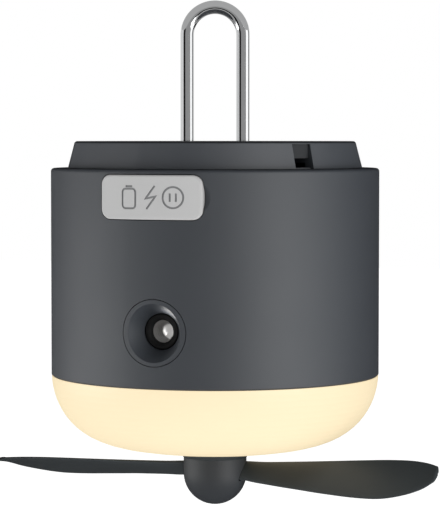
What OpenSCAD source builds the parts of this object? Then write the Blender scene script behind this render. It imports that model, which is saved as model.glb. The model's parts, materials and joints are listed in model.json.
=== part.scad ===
// Portable camping fan: a lantern body with a hanging bail, a lit dome and a two-blade fan below it.
// Millimetres, +Z up as it hangs. The fan turns about Z, and the origin is the lowest point of its nose.
// -Y is the front, which carries the charging ports and the tripod socket. The buttons are at the back.

/* [Body] */
// Outer diameter of the round body
body_d = 100; // [99:0.5:101]
// Height of the straight body wall, from its lower rim to its shoulder
body_h = 63; // [62:0.5:65]
// Thickness of the body wall
wall = 2.2; // [2:0.1:2.4]

/* [Collar] */
// Height of the collar above the shoulder
collar_h = 8.15; // [8.1:0.05:8.4]
// Outer diameter of the collar where it leaves the shoulder
collar_base_d = 89.6; // [89:0.1:90]
// Outer diameter of the collar at its rim
collar_top_d = 85.9; // [85.5:0.1:86.5]
// Depth of the well inside the collar
well_depth = 4.35; // [4.3:0.05:4.6]
// Width of each notch in the collar
notch_w = 6.6; // [5:0.1:8]
// Direction of the first notch, in degrees from the front
notch_turn = 56.4; // [50:0.2:65]

/* [Bail] */
// Diameter of the bail's wire
bail_wire_d = 4.1; // [3.9:0.1:4.1]
// Distance between the middles of the two legs
bail_legs = 17.1; // [16.5:0.1:18]
// Reach of the bail from its pivot to the outside of its arch
bail_reach = 45.05; // [42:0.05:45.1]
// Turn of the bail about the fan's axis, in degrees
bail_turn = 20.8; // [15:0.2:25]
// Distance of the bail's pivot behind the fan's axis
bail_offset = 4.6; // [4.4:0.1:5]

/* [Lamp and fan] */
// Height of the body's lower rim above the nose
body_z = 40.15; // [40:0.05:41]
// Drop of the lit dome below the body
dome_drop = 22.75; // [22:0.05:23]
// Radius of the fan at its blade tips
fan_r = 68.7; // [64:0.1:70]
// Height of the blades' middle above the nose
blade_z = 11.6; // [11.4:0.1:11.8]
// Direction of the first blade, in degrees from +X
blade_turn = 10.2; // [0:0.2:20]
// Radius of the round nose
nose_r = 9.65; // [9.5:0.05:9.8]

/* [Front fittings] */
// Width of the port cover, measured straight across
cover_w = 31.65; // [31:0.05:32]
// Height of the port cover
cover_h = 12.8; // [12.4:0.1:13]
// Height of the tripod socket above the nose
socket_z = 56.4; // [56:0.1:58]
// Radius of the tripod socket's bezel
bezel_r = 9.6; // [9.5:0.05:9.7]

/* [Hidden] */
$fn = 96;

slate = [0.25, 0.26, 0.27];
pale = [0.70, 0.71, 0.71];
cream = [1.0, 0.93, 0.76];
board_green = [0.10, 0.30, 0.20];
steel = [0.62, 0.63, 0.64];
bright = [0.85, 0.86, 0.87];
brass = [0.72, 0.58, 0.30];
copper = [0.70, 0.38, 0.22];
black = [0.08, 0.08, 0.08];
white = [0.92, 0.92, 0.90];

over = 0.5;                                // how far a cutter runs past a face
gap = 0.05;                                // gap between pieces that are put together
body_r = body_d / 2;
bore_r = body_r - wall;                    // inside of the body wall
shoulder_z = body_z + body_h;
rim_z = shoulder_z + collar_h;
deck_z = rim_z - well_depth;               // floor of the well inside the collar
deck_t = 2;
notch_in_r = 42.1;                         // how far in the groove of each notch reaches
notch_lip = 0.85;                          // rim left over each notch
vent_in_r = 33;                            // how far in the slot at each notch's foot reaches
vent_top = deck_z - 0.6;
shoulder_t = 2.2;
mouth_r = 43.2;                            // hole in the shoulder that the cap's skirt drops into
well_r = 41.3;
edge_r = 1;                                // rounding of the collar's rim and the body's edges

wire_r = bail_wire_d / 2;
pivot_z = rim_z - wire_r;
stub_r = 1.1;                              // pins turned on the ends of the bail
stub_end = 3.5;                            // how near the pins come to the block's middle
block_w = bail_legs - bail_wire_d - 0.6;
block_d = 9;

cover_z = shoulder_z - 7.85;               // middle of the port cover
cover_left = -17.1;                        // the cover's left end, across the front
cover_right = cover_left + cover_w;
proud = 0.6;                               // how far the cover and the buttons stand out of the body
cover_out_r = body_r + proud;
cover_in_r = body_r - 1.85;
bead_r = 0.6;                              // round edge that the cover swings about
bead_x = cover_left + bead_r;
bead_ring = cover_out_r - bead_r;
bead_y = -sqrt(pow(bead_ring, 2) - pow(bead_x, 2));
bead_turn_r = 2.33;                        // reach of the cover's inner corner round that edge
anchor_x = -15.2;                          // middle of the tab that holds the cover
anchor_y = -42.8;                          // where the tab's head starts
scoop_r = 6.54;                            // round scoop that a finger opens the cover at
scoop_out = 4.84;                          // its centre, outside the body
scoop_in = 1.95;                           // and inward of the cover's right end
window_gap = 0.25;
frame_out_r = bore_r - 0.1;
frame_in_r = bore_r - 1.8;

board_z = cover_z - 4.1;                   // underside of the main board
board_t = 1.2;
board_top = board_z + board_t;
usb_a_x = 4.6;
usb_a_size = [13.2, 5.7];
usb_c_x = -8.6;
usb_c_size = [8.94, 3.16];
port_face = -46.2;                         // where the metal mouths of both ports end

bezel_gap = 0.22;                          // seam round the bezel
socket_depth = 6.5;                        // depth of the conical mouth of the tripod socket
ring_depth = 8.2;                          // depth at which the threaded bush starts
bush_end = 17;
thread_end = 13.8;                         // depth of the blind end of the thread
bush_r = 5;
thread_r = 2.6;                            // wall of the 1/4 inch, 20 threads per inch hole

plate_z = 76;                              // middle of the button plate
plate_size = [17, 41];
plate_out_r = body_r + 0.25;
plate_in_r = bore_r - 1.4;
button_r = 5.4;
button_rise = 10;                          // each button's distance above or below the plate's middle
flange_y = 44.9;                           // back face of a button's flange
button_front = body_r + proud;
switch_y = 40.2;                           // front face of the button board
post_x = 6.8;
lamp_x = [-4.8, -1.6, 1.6, 4.8];           // the four charge lamps

cell_r = 9.2;
cell_len = 65;
cell_y = 24.3;
cell_z = [58.5, 77.5];
holder_z = [48.5, 87.5];
holder_foot = [24, 20];
board_post = [17, 17.5];

plate_t = 2.5;
base_z = body_z + 1.85;                    // underside of the base plate
base_top = base_z + plate_t;
base_r = 45.7;
ledge_t = 3;
ledge_in_r = 41.5;
base_screw_ring = 43.7;
boss_ring = 35.5;
boss_z = shoulder_z - 11;

can_r = 12.2;
can_h = 27.5;
can_z = base_top;
shaft_r = 1.5;
bush_out_r = 3;
can_boss_r = 4.2;
motor_screw_ring = 7.6;
shaft_low = 5;
hub_top = 16.2;                            // top of the fan's hub, just under the dome
hub_flange = 1.6;
barrel_hub_r = 6.9;
insert_r = 3;
cap_wall = 1.6;

led_ring = 28;
led_count = 24;
led_board_z = base_z - 1.2;
dome_t = 1.8;
dome_hole_r = 4.6;
dome_z = body_z - gap;
dome_r = body_r - 0.1;
sleeve_flange_t = 1.4;

// A straight ring about Z.
module ring(outer, inner, low, high) {
    translate([0, 0, low]) difference() {
        cylinder(r = outer, h = high - low, $fn = 180);
        translate([0, 0, -over]) cylinder(r = inner, h = high - low + 2 * over, $fn = 180);
    }
}

// Local +Z points out of the front, or out of the back, at a height.
module facing_front(z) {
    translate([0, 0, z]) rotate([90, 0, 0]) children();
}
module facing_back(z) {
    translate([0, 0, z]) rotate([-90, 0, 0]) children();
}

// Turns a piece that is drawn at the front to another side, counted from the front.
module turned(angle) {
    rotate([0, 0, angle]) children();
}

module rounded_outline(size, r) {
    square([size[0] - 2 * r, size[1]], center = true);
    square([size[0], size[1] - 2 * r], center = true);
    for (x = [-1, 1], y = [-1, 1])
        translate([x * (size[0] / 2 - r), y * (size[1] / 2 - r)]) circle(r = r, $fn = 48);
}

// A screw that points along -Z, with the top of its head at the origin and a cross in it.
module screw(head_r, head_h, shank_r, length) {
    difference() {
        rotate_extrude($fn = 36) polygon([
            [0, 0], [head_r, 0], [head_r, -0.3], [shank_r, -head_h],
            [shank_r, -length], [0, -length]
        ]);
        for (turn = [0, 90]) rotate([0, 0, turn])
            translate([-head_r * 0.6, -0.25, -head_h * 0.5]) cube([head_r * 1.2, 0.5, head_h]);
    }
}

// A vertical hole for the screw above, opened out for its head.
module screw_hole(head_r, head_h, shank_r, length) {
    rotate_extrude($fn = 36) polygon([
        [0, over], [head_r, over], [head_r, -0.3], [shank_r, -head_h],
        [shank_r, -length], [0, -length]
    ]);
}

// ---- Body and collar ----

module port_window(grow) {
    facing_front(cover_z) translate([(cover_left + cover_right) / 2, 0, frame_in_r - 8])
        linear_extrude(height = 20)
        rounded_outline([cover_w + 2 * grow, cover_h + 2 * grow], 3 + grow);
}

module plate_window(grow) {
    facing_back(plate_z) translate([0, 0, plate_in_r - 8]) linear_extrude(height = 20)
        rounded_outline([plate_size[0] + 2 * grow, plate_size[1] + 2 * grow], 8 + grow);
}

module cap_bosses() {
    for (turn = [45 : 90 : 315]) turned(turn) {
        translate([0, -boss_ring, boss_z]) cylinder(r = 3.5, h = shoulder_z - boss_z - gap, $fn = 48);
        translate([-1.5, -bore_r - 1, boss_z])
            cube([3, bore_r - boss_ring + 1, shoulder_z - boss_z - 1.7]);
    }
}

module body_shell() {
    color(slate) difference() {
        union() {
            rotate_extrude($fn = 180) polygon(concat(
                [[bore_r, body_z], [body_r - 0.4, body_z], [body_r, body_z + 0.4]],
                [for (a = [0 : 15 : 90])
                    [body_r - edge_r + edge_r * cos(a), shoulder_z - edge_r + edge_r * sin(a)]],
                [[mouth_r, shoulder_z], [mouth_r, shoulder_z - shoulder_t],
                    [bore_r, shoulder_z - shoulder_t]]
            ));
            ring(bore_r + 1, ledge_in_r, base_top, base_top + ledge_t);
            cap_bosses();
        }
        difference() {
            port_window(window_gap);
            cylinder(r = frame_in_r - 0.05, h = 200);
        }
        turned(asin((cover_right - scoop_in) / body_r))
            translate([0, -body_r - scoop_out, cover_z]) sphere(r = scoop_r);
        facing_front(socket_z) cylinder(r = bezel_r + bezel_gap, h = body_r + over);
        translate([-14, -bore_r + 0.3, base_top - over]) cube([28, 8, ledge_t + 2 * over]);
        plate_window(gap);
        for (turn = [45 : 90 : 315]) turned(turn) {
            translate([0, -boss_ring, boss_z - over])
                cylinder(r = 1.2, h = shoulder_z - boss_z + 2 * over, $fn = 36);
            translate([0, -base_screw_ring, base_top - over])
                cylinder(r = 1.2, h = ledge_t + 2 * over, $fn = 36);
        }
    }
}

module top_cap() {
    base_r = collar_base_d / 2;
    top_r = collar_top_d / 2;
    foot = shoulder_z + 0.15;
    color(slate) difference() {
        union() {
            rotate_extrude($fn = 180) polygon(concat(
                [[0, deck_z - deck_t], [well_r - 0.6, deck_z - deck_t], [well_r - 0.6, shoulder_z - 1.6],
                    [mouth_r - 0.15, shoulder_z - 1.6], [mouth_r - 0.15, foot], [base_r, foot]],
                [for (a = [12 : 13 : 90])
                    [top_r - edge_r + edge_r * cos(a), rim_z - edge_r + edge_r * sin(a)]],
                [[well_r + 0.3, rim_z], [well_r, rim_z - 0.3], [well_r, deck_z], [0, deck_z]]
            ));
            for (turn = [45 : 90 : 315]) turned(turn)
                translate([0, -boss_ring, shoulder_z])
                cylinder(r = 3.5, h = deck_z - shoulder_z - 1, $fn = 48);
        }
        for (turn = [0, 120, 240]) turned(notch_turn + turn) {
            translate([-notch_w / 2, -base_r - 1, foot - over]) cube([notch_w, 2.4, 2]);
            translate([-notch_w / 2, -base_r - 1, foot + 0.3])
                cube([notch_w, base_r + 1 - notch_in_r, rim_z - notch_lip - foot - 0.3]);
            translate([-notch_w / 2, -base_r, foot + 0.3])
                cube([notch_w, base_r - vent_in_r, vent_top - foot - 0.3]);
        }
        for (turn = [45 : 90 : 315]) turned(turn)
            translate([0, -boss_ring, deck_z]) screw_hole(2.8, 1.6, 1.5, 8);
        turned(bail_turn) translate([0, bail_offset, deck_z - deck_t - over])
            cylinder(r = 1.25, h = deck_t + 2 * over, $fn = 36);
    }
}

module cap_screws() {
    color(steel) for (turn = [45 : 90 : 315]) turned(turn)
        translate([0, -boss_ring, deck_z - 0.1]) screw(2.7, 1.5, 1.15, 12);
}

// ---- Bail ----

// The bail's own frame: its pivot at the origin, its legs up along Z.
module at_pivot() {
    turned(bail_turn) translate([0, bail_offset, pivot_z]) children();
}

module bail_leg(height) {
    rotate_extrude($fn = 64) polygon(concat(
        [for (a = [-90 : 10 : 0]) [wire_r * cos(a), wire_r * sin(a)]],
        [[wire_r, height], [0, height]]
    ));
}

module bail() {
    half = bail_legs / 2;
    crown = bail_reach - wire_r;
    color(bright) at_pivot() {
        translate([0, 0, crown - half]) rotate([90, 0, 0]) rotate_extrude(angle = 180, $fn = 128)
            translate([half, 0]) circle(r = wire_r, $fn = 64);
        for (side = [-1, 1]) translate([side * half, 0, 0]) {
            bail_leg(crown - half);
            rotate([0, -side * 90, 0]) cylinder(r = stub_r, h = half - stub_end, $fn = 36);
        }
    }
}

module bail_block() {
    color(slate) at_pivot() difference() {
        translate([-block_w / 2, -block_d / 2, deck_z - pivot_z])
            cube([block_w, block_d, pivot_z - deck_z + wire_r - 0.1]);
        for (side = [-1, 1]) translate([side * (stub_end - 0.3), 0, 0]) rotate([0, side * 90, 0])
            cylinder(r = stub_r + gap, h = block_w, $fn = 36);
        translate([0, 0, wire_r - 0.1]) screw_hole(2.6, 1.75, 1.55, 6);
    }
}

module bail_screw() {
    color(steel) at_pivot() translate([0, 0, wire_r - 0.25]) screw(2.5, 1.4, 1.2, 8);
}

// ---- Charging ports ----

module usb_a_outline(grow) {
    translate([usb_a_x, board_top + usb_a_size[1] / 2 - cover_z])
        square([usb_a_size[0] + 2 * grow, usb_a_size[1] + 2 * grow], center = true);
}

module usb_c_outline(grow) {
    r = usb_c_size[1] / 2 + grow;
    translate([usb_c_x, board_top + usb_c_size[1] / 2 - cover_z]) {
        square([usb_c_size[0] - usb_c_size[1], 2 * r], center = true);
        for (side = [-1, 1])
            translate([side * (usb_c_size[0] - usb_c_size[1]) / 2, 0]) circle(r = r, $fn = 48);
    }
}

// Draws an outline of the front as a solid from one depth, y = from, to another.
module front_solid(from, to) {
    facing_front(cover_z) translate([0, 0, -to]) linear_extrude(height = to - from) children();
}

module port_frame() {
    color(slate) difference() {
        union() {
            intersection() {
                ring(frame_out_r, frame_in_r, cover_z - 8.4, shoulder_z - shoulder_t - gap);
                translate([-20, -body_r, 0]) cube([40, body_r, 200]);
            }
            intersection() {
                ring(frame_out_r, frame_in_r, cover_z - 8.4, shoulder_z);
                port_window(window_gap - 0.1);
            }
            intersection() {
                translate([-17, -frame_in_r - 0.6, board_z - 1.6]) cube([34, 5, 1.6]);
                cylinder(r = frame_out_r - 0.5, h = 200);
            }
        }
        front_solid(-body_r, -36) {
            usb_a_outline(0.1);
            usb_c_outline(0.1);
            translate([anchor_x, 0]) square([1.5, 5.1], center = true);
        }
    }
}

// A band of the cover, from one radius to another, right of a distance across the front.
module cover_band(outer, inner, left) {
    intersection() {
        ring(outer, inner, cover_z - 8, cover_z + 8);
        translate([left, -body_r - 2, 0]) cube([cover_w, body_r, 200]);
    }
}

module port_cover() {
    color(pale) {
        intersection() {
            union() {
                cover_band(cover_out_r, cover_in_r, bead_x);
                cover_band(bead_ring, cover_in_r, cover_left);
                translate([bead_x, bead_y, cover_z - 8]) cylinder(r = bead_r, h = 16, $fn = 48);
            }
            port_window(0);
            facing_front(cover_z) translate([cover_right - 24, 0, 30]) cylinder(r = 24, h = 30);
        }
        front_solid(-cover_in_r - 0.6, -45.4)
            translate([usb_a_x - 0.2, board_top + 1.5 - cover_z]) square([10.6, 1.9], center = true);
    }
}

// A tab behind the cover's left edge, cut clear of the edge's turn, with a head behind the frame.
module cover_anchor() {
    color(pale) difference() {
        union() {
            intersection() {
                front_solid(-body_r, anchor_y) translate([anchor_x, 0]) square([1.4, 5], center = true);
                cylinder(r = cover_in_r - gap, h = 200);
            }
            front_solid(anchor_y, anchor_y + 1) translate([anchor_x, 0]) square([3, 5.6], center = true);
        }
        translate([bead_x, bead_y, 0]) cylinder(r = bead_turn_r, h = 200);
    }
}

module usb_a_socket() {
    color(steel) difference() {
        front_solid(port_face, -33) usb_a_outline(0);
        front_solid(port_face - over, -33.6) usb_a_outline(-0.35);
    }
}

module usb_a_tongue() {
    color(white) {
        front_solid(-45.2, -34) translate([usb_a_x, board_top + 3.9 - cover_z])
            square([11.2, 1.7], center = true);
        front_solid(-35.2, -33.65) usb_a_outline(-0.4);
    }
}

module usb_c_socket() {
    color(steel) difference() {
        front_solid(port_face, -38.8) usb_c_outline(0);
        front_solid(port_face - over, -39.2) usb_c_outline(-0.3);
    }
}

module usb_c_tongue() {
    color(black) {
        front_solid(-45.6, -39.6) translate([usb_c_x, board_top + usb_c_size[1] / 2 - cover_z])
            square([6.7, 0.7], center = true);
        front_solid(-40.4, -39.25) usb_c_outline(-0.35);
    }
}

// ---- Main board ----

module main_board() {
    color(board_green) difference() {
        intersection() {
            translate([-21, -45.8, board_z]) cube([42, 67, board_t]);
            cylinder(r = frame_in_r - 0.3, h = 200);
        }
        for (side = [-1, 1]) translate([side * board_post[0], board_post[1], board_z - over])
            cylinder(r = 1.3, h = board_t + 2 * over, $fn = 36);
    }
}

module board_chips() {
    chips = [[-9, -12, 7, 7, 1.2], [6, -14, 5, 4, 1.4], [-10, 4, 5, 6, 1.5], [9, 6, 4, 5, 1.2]];
    color(black) for (chip = chips)
        translate([chip[0], chip[1], board_top]) cube([chip[2], chip[3], chip[4]]);
}

module board_coil() {
    color(copper) translate([0, -26, board_top]) cylinder(r = 4.5, h = 4.2);
}

module board_capacitors() {
    color(black) for (x = [-14, 13]) translate([x, -24, board_top]) cylinder(r = 3.1, h = 7.5, $fn = 48);
}

module board_screws() {
    color(steel) for (side = [-1, 1]) translate([side * board_post[0], board_post[1], board_top + 1.3])
        screw(2.2, 1.3, 1, 6);
}

// ---- Tripod socket ----

module tripod_bezel() {
    color(slate) difference() {
        intersection() {
            facing_front(socket_z) {
                cylinder(r = bezel_r, h = body_r + over);
                cylinder(r = 11.4, h = 46.3);
            }
            cylinder(r = body_r, h = 200, $fn = 180);
        }
        facing_front(socket_z) {
            translate([0, 0, -over]) cylinder(r = 30, h = body_r - bush_end + over);
            difference() {
                cylinder(r = 30, h = 44.6);
                cylinder(r = 7.6, h = 45);
            }
            cylinder(r = bush_r + gap, h = body_r);
            translate([0, 0, body_r - ring_depth]) cylinder(r = 5.35, h = ring_depth);
            translate([0, 0, body_r - socket_depth])
                cylinder(r1 = 5.35, r2 = 8.55, h = socket_depth + 0.1);
        }
    }
}

module tripod_ring() {
    color(black) facing_front(socket_z) rotate_extrude() polygon([
        [3.3, body_r - ring_depth], [5.3, body_r - ring_depth], [5.3, body_r - socket_depth - 0.4],
        [4.9, body_r - socket_depth], [4.1, body_r - socket_depth], [3.3, body_r - socket_depth - 0.9]
    ]);
}

module tripod_bush() {
    color(bright) facing_front(socket_z) rotate_extrude() polygon([
        [0, body_r - bush_end], [bush_r, body_r - bush_end],
        [bush_r, body_r - ring_depth], [3.25, body_r - ring_depth],
        [thread_r, body_r - ring_depth - 0.65], [thread_r, body_r - thread_end],
        [0, body_r - thread_end]
    ]);
}

// ---- Buttons ----

module plate_holes() {
    for (side = [-1, 1]) facing_back(plate_z + side * button_rise)
        cylinder(r = button_r + 0.15, h = body_r + 2);
    for (x = lamp_x) facing_back(plate_z) translate([x, 0, 0]) cylinder(r = 0.9, h = body_r + 2, $fn = 36);
}

module button_plate() {
    color(slate) difference() {
        union() {
            intersection() {
                ring(plate_out_r, plate_in_r, plate_z - 24, plate_z + 24);
                plate_window(0);
            }
            intersection() {
                ring(bore_r - 0.05, plate_in_r, plate_z - 24, plate_z + 24);
                plate_window(1.8);
            }
            for (side = [-1, 1]) facing_back(plate_z) translate([side * post_x, 0, switch_y])
                cylinder(r = 1.6, h = 6.4, $fn = 36);
        }
        plate_holes();
        for (side = [-1, 1]) facing_back(plate_z) translate([side * post_x, 0, 0])
            cylinder(r = 0.8, h = 44.5, $fn = 36);
    }
}

module button(z) {
    color(pale) facing_back(z) rotate_extrude() polygon([
        [0, flange_y], [button_r + 0.8, flange_y], [button_r + 0.8, flange_y + 0.8],
        [button_r, flange_y + 0.8], [button_r, button_front - 0.7],
        [button_r - 0.2, button_front - 0.3], [button_r - 0.7, button_front - 0.1], [0, button_front]
    ]);
}

module fan_button() {
    button(plate_z + button_rise);
}
module lamp_button() {
    button(plate_z - button_rise);
}

module plunger(z) {
    color(black) facing_back(z) translate([0, 0, 42.6]) cylinder(r = 1.7, h = flange_y - 42.6, $fn = 48);
}

module fan_switch_plunger() {
    plunger(plate_z + button_rise);
}
module lamp_switch_plunger() {
    plunger(plate_z - button_rise);
}

module switch_housings() {
    color(black) for (side = [-1, 1]) facing_back(plate_z + side * button_rise) difference() {
        translate([-3, -3, switch_y]) cube([6, 6, 3.6]);
        translate([0, 0, switch_y + 1.6]) cylinder(r = 1.8, h = 3, $fn = 48);
    }
}

module button_board() {
    color(board_green) facing_back(plate_z) difference() {
        translate([-9, -18, switch_y - 1.2]) cube([18, 36, 1.2]);
        for (side = [-1, 1]) translate([side * post_x, 0, switch_y - 2])
            cylinder(r = 0.95, h = 3, $fn = 36);
    }
}

module button_board_screws() {
    color(steel) for (side = [-1, 1]) facing_back(plate_z)
        translate([side * post_x, 0, switch_y - 2.2]) rotate([180, 0, 0]) screw(1.6, 0.9, 0.75, 5);
}

module indicator_lenses() {
    color(white) for (x = lamp_x) facing_back(plate_z) translate([x, 0, switch_y + 1])
        cylinder(r = 0.85, h = plate_out_r - switch_y - 1, $fn = 36);
}

module indicator_leds() {
    color(white) for (x = lamp_x) facing_back(plate_z) translate([x - 0.8, -0.4, switch_y])
        cube([1.6, 0.8, 0.6]);
}

// ---- Battery ----

module battery_holder() {
    color(black) difference() {
        union() {
            translate([-31, cell_y - 10, holder_z[0]])
                cube([62, 10, holder_z[1] - holder_z[0]]);
            for (side = [-1, 1]) translate([side * 33.8 - 0.8, cell_y - 10, holder_z[0]])
                cube([1.6, 16.5, holder_z[1] - holder_z[0]]);
            translate([-34, cell_y - 10, holder_z[0]]) cube([68, 1.1, holder_z[1] - holder_z[0]]);
            for (side = [-1, 1]) {
                translate([side * holder_foot[0], holder_foot[1], base_top])
                    cylinder(r = 3.6, h = holder_z[0] - base_top + 1, $fn = 48);
                translate([side * board_post[0], board_post[1], holder_z[1] - 1])
                    cylinder(r = 3, h = board_z - holder_z[1] + 1, $fn = 48);
            }
        }
        for (z = cell_z) translate([-32.85, cell_y, z]) rotate([0, 90, 0])
            cylinder(r = cell_r + 0.1, h = 65.7);
        for (side = [-1, 1]) {
            translate([side * holder_foot[0], holder_foot[1], base_top - over])
                cylinder(r = 1.2, h = 5, $fn = 36);
            translate([side * board_post[0], board_post[1], board_z - 5])
                cylinder(r = 1, h = 6, $fn = 36);
        }
    }
}

module battery_cells() {
    color([0.20, 0.35, 0.62]) for (z = cell_z)
        translate([-cell_len / 2, cell_y, z]) rotate([0, 90, 0]) cylinder(r = cell_r, h = cell_len);
}

module battery_tabs() {
    color(bright) {
        translate([cell_len / 2, cell_y - 3, cell_z[0] - 4]) cube([0.3, 6, cell_z[1] - cell_z[0] + 8]);
        for (z = cell_z) translate([-cell_len / 2 - 0.3, cell_y - 3, z - 4]) cube([0.3, 6, 8]);
    }
}

module holder_screws() {
    color(steel) for (side = [-1, 1]) translate([side * holder_foot[0], holder_foot[1], base_z + 0.05])
        rotate([180, 0, 0]) screw(2.3, 1.3, 1.1, 6);
}

// ---- Base plate, motor and lamp ----

module base_plate() {
    color(slate) difference() {
        translate([0, 0, base_z]) cylinder(r = base_r, h = plate_t, $fn = 180);
        translate([0, 0, base_z - over]) cylinder(r = can_boss_r + 0.1, h = plate_t + 2 * over);
        for (side = [-1, 1]) {
            translate([side * motor_screw_ring, 0, base_z - over])
                cylinder(r = 1.35, h = plate_t + 2 * over, $fn = 36);
            translate([side * holder_foot[0], holder_foot[1], base_z]) rotate([180, 0, 0])
                screw_hole(2.4, 1.4, 1.25, plate_t + over);
        }
        for (turn = [45 : 90 : 315]) turned(turn) translate([0, -base_screw_ring, base_z - over])
            cylinder(r = 1.35, h = plate_t + 2 * over, $fn = 36);
    }
}

module base_screws() {
    color(steel) for (turn = [45 : 90 : 315]) turned(turn)
        translate([0, -base_screw_ring, base_z - 1.4]) rotate([180, 0, 0]) screw(1.9, 1.4, 1.1, 6.4);
}

module motor_can() {
    color(steel) difference() {
        union() {
            translate([0, 0, can_z]) cylinder(r = can_r, h = can_h);
            translate([0, 0, can_z - 1.5]) cylinder(r = can_boss_r, h = 2);
        }
        translate([0, 0, can_z + 1.2]) cylinder(r = can_r - 0.8, h = can_h);
        translate([0, 0, can_z - 2]) cylinder(r = bush_out_r, h = 5, $fn = 64);
        for (side = [-1, 1]) translate([side * motor_screw_ring, 0, can_z - over])
            cylinder(r = 1.1, h = 3, $fn = 36);
    }
}

module motor_magnets() {
    color([0.2, 0.2, 0.22]) difference() {
        ring(can_r - 0.85, can_r - 2.6, can_z + 3.5, can_z + 21.5);
        translate([-3, -20, can_z]) cube([6, 40, 30]);
    }
}

module motor_end_bell() {
    color(black) difference() {
        union() {
            translate([0, 0, can_z + can_h - 2.5]) cylinder(r = can_r - 0.85, h = 2.5);
            translate([0, 0, can_z + can_h]) cylinder(r = 4, h = 1.5);
        }
        translate([0, 0, can_z + can_h - 3]) cylinder(r = bush_out_r, h = 6, $fn = 64);
    }
}

module motor_brushes() {
    color(copper) for (side = [-1, 1])
        translate([side * 5.05 - 2, -1.2, can_z + can_h - 5.4]) cube([4, 2.4, 2.9]);
}

module lower_bush() {
    color(brass) ring(bush_out_r, shaft_r + 0.03, can_z - 1.5, can_z + 1.8);
}

module upper_bush() {
    color(brass) ring(bush_out_r, shaft_r + 0.03, can_z + can_h - 2.5, can_z + can_h + 1.5);
}

module motor_screws() {
    color(steel) for (side = [-1, 1])
        translate([side * motor_screw_ring, 0, base_z - sleeve_flange_t - 1.2]) rotate([180, 0, 0])
        screw(2, 1.2, 1.05, 6);
}

module motor_shaft() {
    color(bright) translate([0, 0, shaft_low])
        cylinder(r = shaft_r, h = can_z + can_h + 2.2 - shaft_low, $fn = 64);
}

module armature() {
    low = can_z + 5.5;
    color(steel) difference() {
        ring(9.2, shaft_r, low, low + 14);
        for (turn = [0 : 72 : 288]) rotate([0, 0, turn]) {
            translate([4.2, -1.8, low - over]) cube([3.4, 3.6, 15]);
            translate([7, -0.6, low - over]) cube([4, 1.2, 15]);
        }
    }
}

module motor_windings() {
    low = can_z + 5.5;
    color(copper) {
        for (turn = [0 : 72 : 288]) rotate([0, 0, turn])
            translate([4.35, -1.65, low - 1]) cube([3.1, 3.3, 16]);
        ring(8.2, 3.4, low - 2.6, low - 0.1);
        ring(8.2, 3.4, low + 14.1, low + 16.4);
    }
}

module commutator() {
    color(copper) ring(3, shaft_r, can_z + can_h - 5.6, can_z + can_h - 2.8);
}

module led_board() {
    color(white) ring(40, 12, led_board_z, base_z);
}

module led_chips() {
    color([1, 0.9, 0.5]) for (i = [0 : led_count - 1]) rotate([0, 0, i * 360 / led_count])
        translate([led_ring - 1.75, -1.4, led_board_z - 0.8]) cube([3.5, 2.8, 0.8]);
}

module reflector() {
    color(white) difference() {
        union() {
            ring(44, 10, led_board_z - 0.9, led_board_z);
            ring(44, 42.6, led_board_z - 2.4, led_board_z);
        }
        for (i = [0 : led_count - 1]) rotate([0, 0, i * 360 / led_count])
            translate([led_ring, 0, led_board_z - 2]) cylinder(r = 2.5, h = 3, $fn = 36);
        for (turn = [45 : 90 : 315]) turned(turn) translate([0, -base_screw_ring, led_board_z - 3])
            cylinder(r = 2.2, h = 4, $fn = 36);
    }
}

module shaft_sleeve() {
    color(white) difference() {
        union() {
            translate([0, 0, base_z - sleeve_flange_t]) cylinder(r = 9.8, h = sleeve_flange_t);
            translate([0, 0, hub_top + 0.8]) cylinder(r = 4.5, h = base_z - hub_top - 1.5, $fn = 64);
        }
        translate([0, 0, hub_top]) cylinder(r = 2.3, h = base_z, $fn = 64);
        translate([0, 0, base_z - 0.6]) cylinder(r = can_boss_r + 0.2, h = 1);
        translate([0, 0, base_z - sleeve_flange_t - over]) for (side = [-1, 1])
            translate([side * motor_screw_ring, 0, 0]) cylinder(r = 1.2, h = 3, $fn = 36);
    }
}

// Half section of the dome, a rounded form that is full at its rim and flat at its pole.
function dome_curve(r, drop, angles) = [
    for (a = angles) [r * pow(cos(a), 0.44), dome_z - drop * pow(sin(a), 1.1)]
];

module light_diffuser() {
    inner_r = dome_r - dome_t;
    spigot_r = bore_r - 0.2;
    color(cream) difference() {
        rotate_extrude($fn = 180) polygon(concat(
            dome_curve(dome_r, dome_drop - gap, [0 : 5 : 90]),
            dome_curve(inner_r, dome_drop - dome_t, [90 : -5 : 10]),
            [[spigot_r - 1.7, dome_z - 1.5], [spigot_r - 1.7, dome_z + 3.6], [spigot_r, dome_z + 3.6],
                [spigot_r, dome_z + 2.3], [spigot_r - 0.8, dome_z + 2.3], [spigot_r - 0.8, dome_z + 1.3],
                [spigot_r, dome_z + 1.3], [spigot_r, dome_z]]
        ));
        translate([0, 0, dome_z - dome_drop - 1]) cylinder(r = dome_hole_r, h = 6, $fn = 64);
    }
}

module seal_ring() {
    section = 0.46;
    color(black) rotate_extrude($fn = 128)
        translate([bore_r - 0.02 - section, dome_z + 1.8]) circle(r = section, $fn = 24);
}

// ---- Fan ----

// Blade stations, from the root out: distance from the axis, pitch, and how far
// the raised edge and the lowered edge reach from the blade's middle line.
station_r = [6.2, 10, 16, 25, 35, 45, 53, 60, 65, 68];
pitch_at = [38, 36, 26, 20.7, 19, 18.5, 17.8, 16, 13.5, 9];
raised_at = [2.4, 2.4, 2.8, 4, 5.3, 6.5, 7.4, 7.7, 6.7, 5.2];
lowered_at = [5.6, 5.8, 8.8, 12.6, 16, 18.4, 19.1, 17.2, 13.9, 10.4];
tip_closing = [[0.45, 0.76], [0.8, 0.45], [1, 0.12]]; // share of the last stretch, and of the width

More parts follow.
